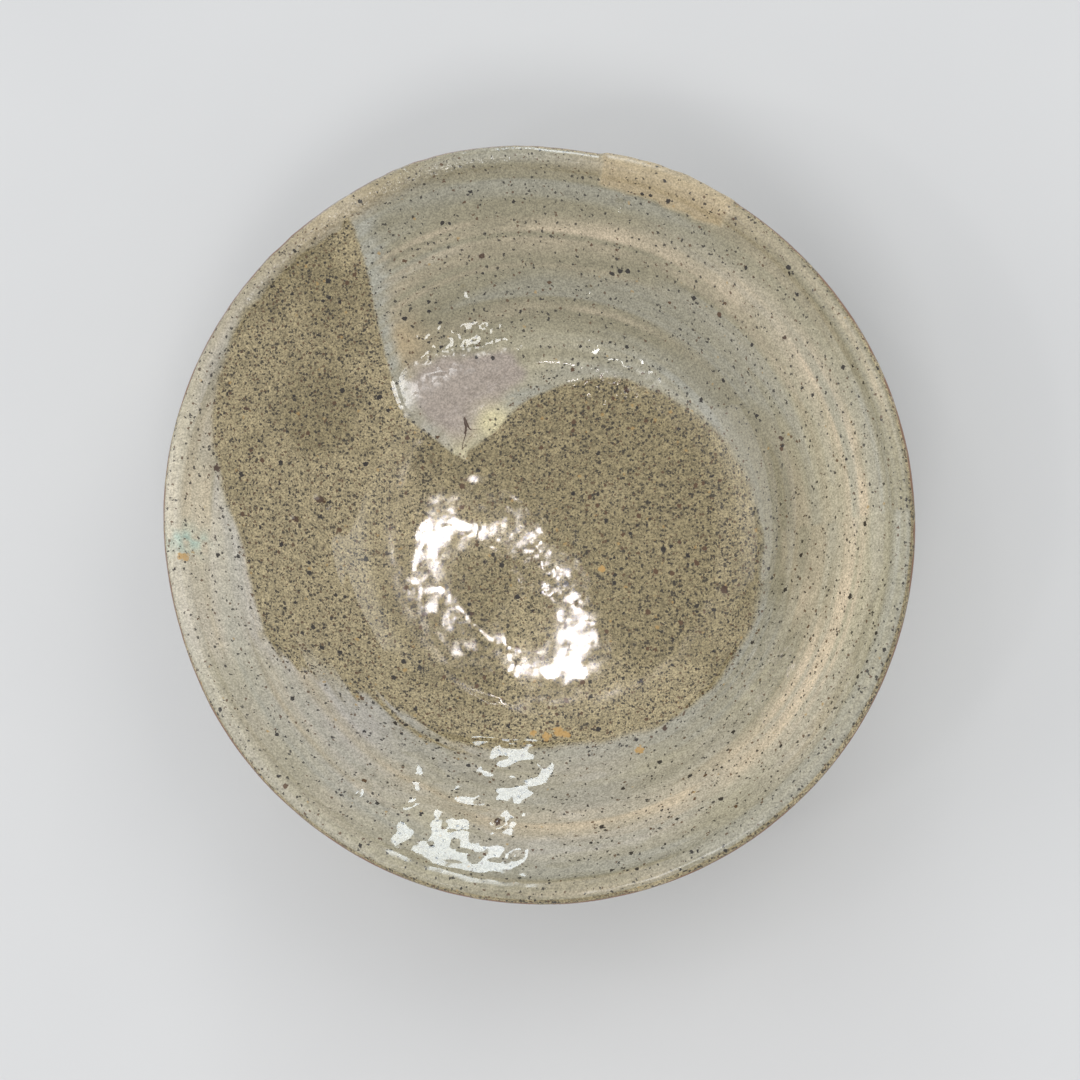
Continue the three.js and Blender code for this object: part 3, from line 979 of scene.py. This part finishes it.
def inside_glaze(material):
    azimuth = columns_of(SKIN_COLUMNS)
    s, turns = grid(S_CENTRE, S_CREST, 172, azimuth)
    lift = SKIN + relief(s, turns)
    lift[0] = lift[0].mean()
    under = grid(S_CREST, S_CENTRE, 12, azimuth)
    skin_piece("bowl_inside_glaze", s, turns, lift, under, -0.05, material, "inside_glaze",
               to_centre=True)


def lip_band(material):
    """The lip's glaze, a hair above its neighbours and dipping into them at both edges."""
    azimuth = columns_of(SKIN_COLUMNS)
    first, last = at_station(len(OUTSIDE) - 1.4), S_CREST + 1.2
    s, turns = grid(first, last, 40, azimuth)
    lift = SKIN + 0.015 + relief(s, turns)
    level = ramp(s, first, first + 1.0) * (1 - ramp(s, S_CREST + 0.2, last))
    lift = lift - 0.35 * (1 - level)
    under = grid(last, first, 10, azimuth)
    skin_piece("bowl_lip", s, turns, lift, under, -0.05, material, "lip_iron_band")


def outside_glaze(material):
    """It ends above the foot in a wavy line and a thick roll."""
    azimuth = columns_of(SKIN_COLUMNS)
    at_line = at_height(GLAZE_LINE)
    solid = place(np.full(azimuth.shape, at_line), azimuth, 0)
    first = at_line + 1.5 * noise(solid, 22, 61) + 0.5 * noise(solid, 7, 62)
    last = at_station(len(OUTSIDE) - 1.2)
    s, turns = grid(first, last, 150, azimuth)
    rise = np.clip((s - first) / 1.6, 0, 1)
    bead = np.sqrt(1 - (1 - rise) ** 2)
    roll = 0.5 * hump(s - first, 1.7, 1.5)
    lift = (SKIN + roll + relief(s, turns) * rise) * bead
    under = grid(last, first + 0.05, 12, azimuth)
    skin_piece("bowl_outside_glaze", s, turns, lift, under, -0.08, material, "outside_glaze")


def sheet(name, s, turns, depth, top, bottom, values, material, node, closed=True):
    """A slip layer, kept where depth is positive."""
    points, faces, values, edge = feathered(s, turns, depth, top, bottom, values, closed)
    make_piece(name, points, faces, values, material, node, edge)


def slip_swirl(material):
    """The brushed coat, with a slight ridge along its sharp start."""
    azimuth = columns_of(SWIRL_COLUMNS)
    s, turns = grid(S_CREST - 0.9, at_inside_radius(SWIRL_END), 128, azimuth)
    covered, soft = coat_distance(s, turns)
    depth = np.minimum(covered, s - (S_CREST - 0.8))
    thick = COAT * ramp(depth, -0.05, np.clip(soft, 0.8, 2.4))
    ridge = 0.02 * hump(depth, 0.9, 0.8) * (soft < 1)
    glazed = SKIN + relief(s, turns)
    top = glazed + thick + ridge * ramp(depth, 0, 0.6)
    bottom = glazed - SINK * ramp(depth, 0, 1.0)
    sheet("bowl_slip_swirl", s, turns, depth, top, bottom, masks(s, turns), material, "inside_slip_swirl")


def crack(points):
    """How deep the little star-shaped crack in the pool is, from 0 to 1."""
    depth = hump(gap_to(points, *CRACK_CENTRE), 0, 0.8)
    for end in CRACK_ENDS:
        gap, along = distance(points, np.array([flat(*CRACK_CENTRE), flat(*end)]), closed=False)
        depth = np.maximum(depth, (1 - 0.5 * along) * hump(gap, 0, 0.28 + 0.3 * (1 - along)))
    return depth


def slip_pool(material):
    """The thick start of the stroke, with its crack."""
    azimuth = np.linspace(*POOL_AZIMUTHS, 250)
    outer, inner = (at_inside_radius(radius) for radius in POOL_RADII)
    s, turns = grid(outer, inner, 160, azimuth)
    points = plan_points(s, turns)
    gap, _ = distance(points, POOL_LINE)
    depth = np.where(is_inside(points, POOL_LINE), gap, -gap)
    depth = depth + 0.25 * noise(place(s, turns, SKIN), 2.6, 71)
    crackle = crack(points)
    coated = SKIN + relief(s, turns) + COAT * ramp(depth, -0.6, 0.6)
    top = coated + POOL * ramp(depth, -0.2, 4.4) - CRACK_DEPTH * crackle
    bottom = coated - SINK * ramp(depth, 0, 1)
    top = np.maximum(top, bottom + 0.02)
    values = masks(s, turns)
    values["grain"] = np.maximum(values["grain"], 1.6 * crackle)
    sheet("bowl_slip_pool", s, turns, depth, top, bottom, values, material, "inside_slip_pool",
          closed=False)


def slip_band(material):
    """The coat outside, as thick as it is pale."""
    azimuth = columns_of(BAND_COLUMNS)
    low, high = (at_height(height) for height in BAND_HEIGHTS)
    s, turns = grid(low - 4, high + 1.0, 70, azimuth)
    values = masks(s, turns)
    depth = np.minimum(6 * (values["cover"] - 0.06), high + 0.8 - s)
    glazed = SKIN + relief(s, turns) + ABOVE
    top = glazed + 0.3 * ramp(depth, 0, 3)
    bottom = glazed - SINK * ramp(depth, 0, 1)
    sheet("bowl_outside_slip", s, turns, depth, top, bottom, values, material, "outside_slip_band")


def rim_patch(material):
    """Smooth slip draped over the lip; it hides the iron and evens out the relief."""
    azimuth = np.linspace(PATCH_MIDDLE - PATCH_HALF - 3, PATCH_MIDDLE + PATCH_HALF + 3, 200)
    s, turns = grid(S_LIP - 0.4, at_inside_radius(62.5), 110, azimuth)
    reach = at_inside_radius(PATCH_REACH) - 1.5 * ((turns - PATCH_MIDDLE) / PATCH_HALF) ** 2
    across = 1.22 * (PATCH_HALF - np.abs(turns - PATCH_MIDDLE))
    depth = np.minimum(np.minimum(reach - s, across), s - (S_LIP - 0.2))
    depth = depth + 0.5 * noise(place(s, turns, SKIN), 3, 73)
    depth = np.minimum(depth, s - (S_LIP - 0.3))
    uneven = relief(s, turns)
    coat = COAT * ramp(s, S_CREST - 0.9, S_CREST + 1.6)
    evened = uneven * (1 - 0.7 * ramp(depth, 0, 2))
    top = SKIN + 0.05 + evened + coat + PATCH * ramp(depth, 0, 1.6)
    bottom = SKIN + uneven + coat - SINK
    top = np.maximum(top, bottom + 0.02)
    values = masks(s, turns)
    share = ramp(depth, 0, 1.2)
    for name, strength in (("cover", 0.9), ("tan", 0.8)):
        values[name] = np.maximum(values[name], strength * share)
    for name in ("iron", "cool", "dull"):
        values[name] = values[name] * (1 - share)
    sheet("bowl_rim_patch", s, turns, depth, top, bottom, values, material, "rim_slip_patch",
          closed=False)


# ---- the studio ----

VIEW_TILT, VIEW_AZIMUTH, VIEW_DISTANCE = 15, -44, 0.45
VIEW_TARGET = Vector((0.0027, -0.0053, 0.0432))
FIELD = 0.199         # metres across the view at the rim
SENSOR = 36

RING_MIDDLE = Vector((-0.1295, 0.0918, 0.615))
RING_LONG, RING_SHORT = 0.034 * Vector((0.71, -0.71, 0)), 0.019 * Vector((0.71, 0.71, 0))
RING_COUNT, RING_RADIANCE, RING_COLOUR = 18, 60, (1, 0.93, 0.95)
WORLD_COLOUR, WORLD_STRENGTH = (0.95, 0.97, 1.0, 1), 0.73
FLOOR_HALF, FLOOR_ROUGHNESS = 4.0, 0.75
FLOOR_TONES = (0.60, 0.60, 0.60), (0.64, 0.64, 0.635)
BOWL, FLOOR_OF_BOWL = (0, 0, 0.03), (0, 0, 0.02)        # what the lamps are turned to
WHITE_LIGHT = (1, 1, 1)


def direction(azimuth, elevation):
    turn, rise = math.radians(azimuth), math.radians(elevation)
    return Vector((math.cos(rise) * math.cos(turn), math.cos(rise) * math.sin(turn), math.sin(rise)))


def camera():
    data = bpy.data.cameras.new("view")
    data.sensor_width = SENSOR
    data.lens = data.sensor_width * VIEW_DISTANCE / FIELD
    eye = bpy.data.objects.new("view", data)
    offset = VIEW_DISTANCE * direction(VIEW_AZIMUTH, 90 - VIEW_TILT)
    back = offset.normalized()
    right = Vector((0, 1, 0)).cross(back).normalized()
    up = back.cross(right)
    turn = Matrix((right, up, back)).transposed().to_4x4()
    eye.matrix_world = Matrix.Translation(VIEW_TARGET + offset) @ turn
    bpy.context.scene.collection.objects.link(eye)
    bpy.context.scene.camera = eye


def lamp(name, position, target, width, height, radiance, colour):
    """A soft rectangular lamp with the given brightness per unit of its area."""
    data = bpy.data.lights.new(name, "AREA")
    data.shape = "RECTANGLE"
    data.size, data.size_y = width, height
    data.energy = radiance * math.pi * width * height
    data.color = colour
    light = bpy.data.objects.new(name, data)
    light.location = position
    light.rotation_euler = (Vector(target) - Vector(position)).to_track_quat("-Z", "Y").to_euler()
    bpy.context.scene.collection.objects.link(light)


def ring_of_lamps():
    """Small lamps in a circle, whose reflection makes the loop of light on the floor."""
    for index in range(RING_COUNT):
        turn = 2 * math.pi * index / RING_COUNT
        position = RING_MIDDLE + math.cos(turn) * RING_LONG + math.sin(turn) * RING_SHORT
        size = 0.0035 + 0.002 * math.cos(turn) ** 2
        lamp(f"ring_{index:02d}", position, FLOOR_OF_BOWL, size, size, RING_RADIANCE, RING_COLOUR)


def studio():
    world = bpy.data.worlds.new("studio")
    world.use_nodes = True
    background = world.node_tree.nodes["Background"]
    background.inputs["Color"].default_value = WORLD_COLOUR
    background.inputs["Strength"].default_value = WORLD_STRENGTH
    bpy.context.scene.world = world
    lamp("key", 0.95 * direction(35, 54), FLOOR_OF_BOWL, 0.45, 0.45, 1.9, (1, 0.985, 0.96))
    lamp("fill", 0.95 * direction(178, 38), FLOOR_OF_BOWL, 0.6, 0.6, 1.2, (1, 0.98, 0.95))
    lamp("window", (-0.03, 0.98, 0.27), (0, -0.03, 0.03), 0.19, 0.5, 9, (0.84, 0.93, 1))
    lamp("pool_side", 0.8 * direction(-77, 58), BOWL, 0.26, 0.17, 10, WHITE_LIGHT)
    lamp("far_side", 0.8 * direction(-140, 56), BOWL, 0.07, 0.05, 22, WHITE_LIGHT)
    ring_of_lamps()
    bpy.context.scene.view_settings.view_transform = "Standard"


def floor():
    mesh = bpy.data.meshes.new("floor")
    corners = [(x * FLOOR_HALF, y * FLOOR_HALF, 0) for x, y in ((-1, -1), (1, -1), (1, 1), (-1, 1))]
    mesh.from_pydata(corners, [], [(0, 1, 2, 3)])
    shader = Shader("floor_white")
    shader.set("Base Color", shader.mix(shader.noise(60, 3.0), *FLOOR_TONES))
    shader.set("Roughness", FLOOR_ROUGHNESS)
    mesh.materials.append(shader.material)
    ground = bpy.data.objects.new("floor", mesh)
    bpy.context.scene.collection.objects.link(ground)


camera()
studio()
floor()
STONEWARE = clay_material("stoneware_clay")
clay_body(STONEWARE)
foot_ring(STONEWARE)
OLIVE_GLAZE = glaze_material("olive_ash_glaze")
PALE_SLIP = glaze_material("pale_slip_coat")
inside_glaze(OLIVE_GLAZE)
outside_glaze(OLIVE_GLAZE)
lip_band(glaze_material("iron_lip_glaze"))
slip_swirl(PALE_SLIP)
slip_band(PALE_SLIP)
slip_pool(glaze_material("lilac_slip_pool", roughness=0.16))
rim_patch(glaze_material("peach_slip_patch", roughness=0.14))

bpy.context.view_layer.update()
